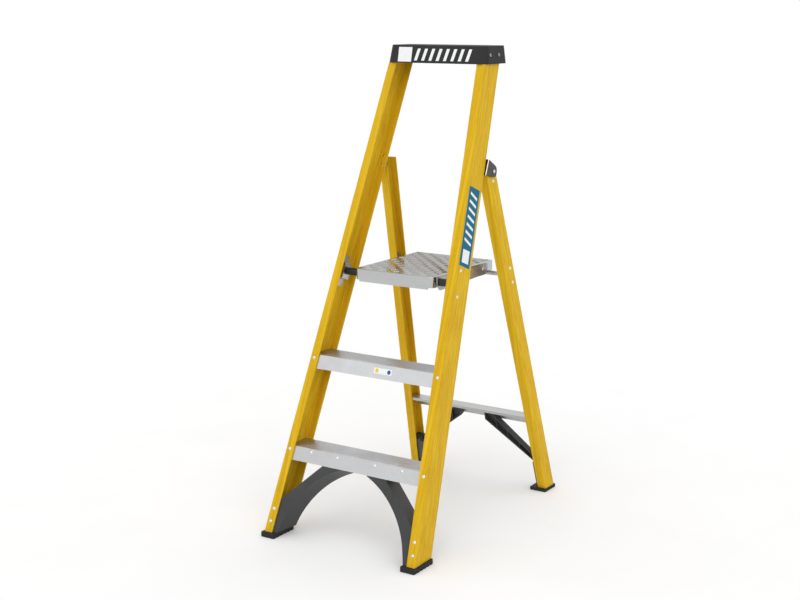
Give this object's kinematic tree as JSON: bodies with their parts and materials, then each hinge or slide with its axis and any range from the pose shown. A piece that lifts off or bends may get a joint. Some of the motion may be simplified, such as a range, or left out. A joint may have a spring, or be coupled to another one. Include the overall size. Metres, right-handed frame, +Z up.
{
  "type": "step ladder",
  "caption": "Folding platform step ladder with glass-fibre channel stiles, aluminium treads, a lifting platform step, corner braces and a moulded top cap.",
  "frame": {"origin": "on the floor, midway between the front and rear feet and between the sides", "axes": "+Z up, +X to the right of someone climbing, +Y from the climber towards the rear frame"},
  "size_m": [0.477, 0.775, 1.26],
  "materials": {
    "aluminium_sheet": "mill finish",
    "black_plastic": "moulded",
    "black_rubber": "moulded rubber",
    "bright_steel": "bright zinc",
    "rod_steel": "drawn",
    "teal_label": "printed film",
    "white_sticker": "printed film",
    "yellow_grp": "satin pultruded glass-fibre",
    "zinc_steel": "zinc plated"
  },
  "bodies": {
    "front_frame": {"brace_tread_rivets": "bright_steel", "front_brace_left": "black_plastic", "front_brace_right": "black_plastic", "front_brace_rivets": "bright_steel", "front_foot_pad_left": "black_rubber", "front_foot_pad_right": "black_rubber", "front_rod_bracket_left": "zinc_steel", "front_rod_bracket_right": "zinc_steel", "front_rod_bracket_rivets": "bright_steel", "front_stile_left": "yellow_grp", "front_stile_right": "yellow_grp", "hinge_bracket_left": "zinc_steel", "hinge_bracket_right": "zinc_steel", "hinge_bracket_rivets": "bright_steel", "hinge_pins": "bright_steel", "hinge_washers": "zinc_steel", "lower_tread": "aluminium_sheet", "middle_tread": "aluminium_sheet", "platform_front_rod": "rod_steel", "platform_spacer_left": "black_plastic", "platform_spacer_right": "black_plastic", "side_label": "teal_label", "top_cap": "black_plastic", "top_cap_screws": "bright_steel", "tread_rivets_front": "bright_steel", "tread_rivets_rear": "bright_steel", "tread_sticker": "white_sticker"},
    "rear_frame": {"leg_end_rivets": "bright_steel", "rear_brace_left": "black_plastic", "rear_brace_right": "black_plastic", "rear_brace_rivets": "bright_steel", "rear_crossbar": "aluminium_sheet", "rear_crossbar_rivets": "bright_steel", "rear_foot_pad_left": "black_rubber", "rear_foot_pad_right": "black_rubber", "rear_leg_left": "yellow_grp", "rear_leg_right": "yellow_grp", "rear_rod": "rod_steel", "rear_rod_bracket_left": "zinc_steel", "rear_rod_bracket_right": "zinc_steel", "rear_rod_bracket_rivets": "bright_steel"},
    "platform": {"platform_rivets": "bright_steel", "platform_side_plate_left": "zinc_steel", "platform_side_plate_right": "zinc_steel", "platform_tray": "aluminium_sheet"}
  },
  "joints": [
    {"name": "rear_frame_fold", "type": "hinge", "parent": "front_frame", "child": "rear_frame", "pos_m": [0, 0.10295, 0.9377], "axis": [-1, 0, 0], "range_deg": [0, 36.32]},
    {"name": "platform_lift", "type": "hinge", "parent": "front_frame", "child": "platform", "pos_m": [0, -0.08693, 0.668], "axis": [1, 0, 0], "range_deg": [0, 68.82]}
  ],
  "couplings": [
    {"joint": "platform_lift", "follows": "rear_frame_fold", "ratio": 1.8944}
  ]
}
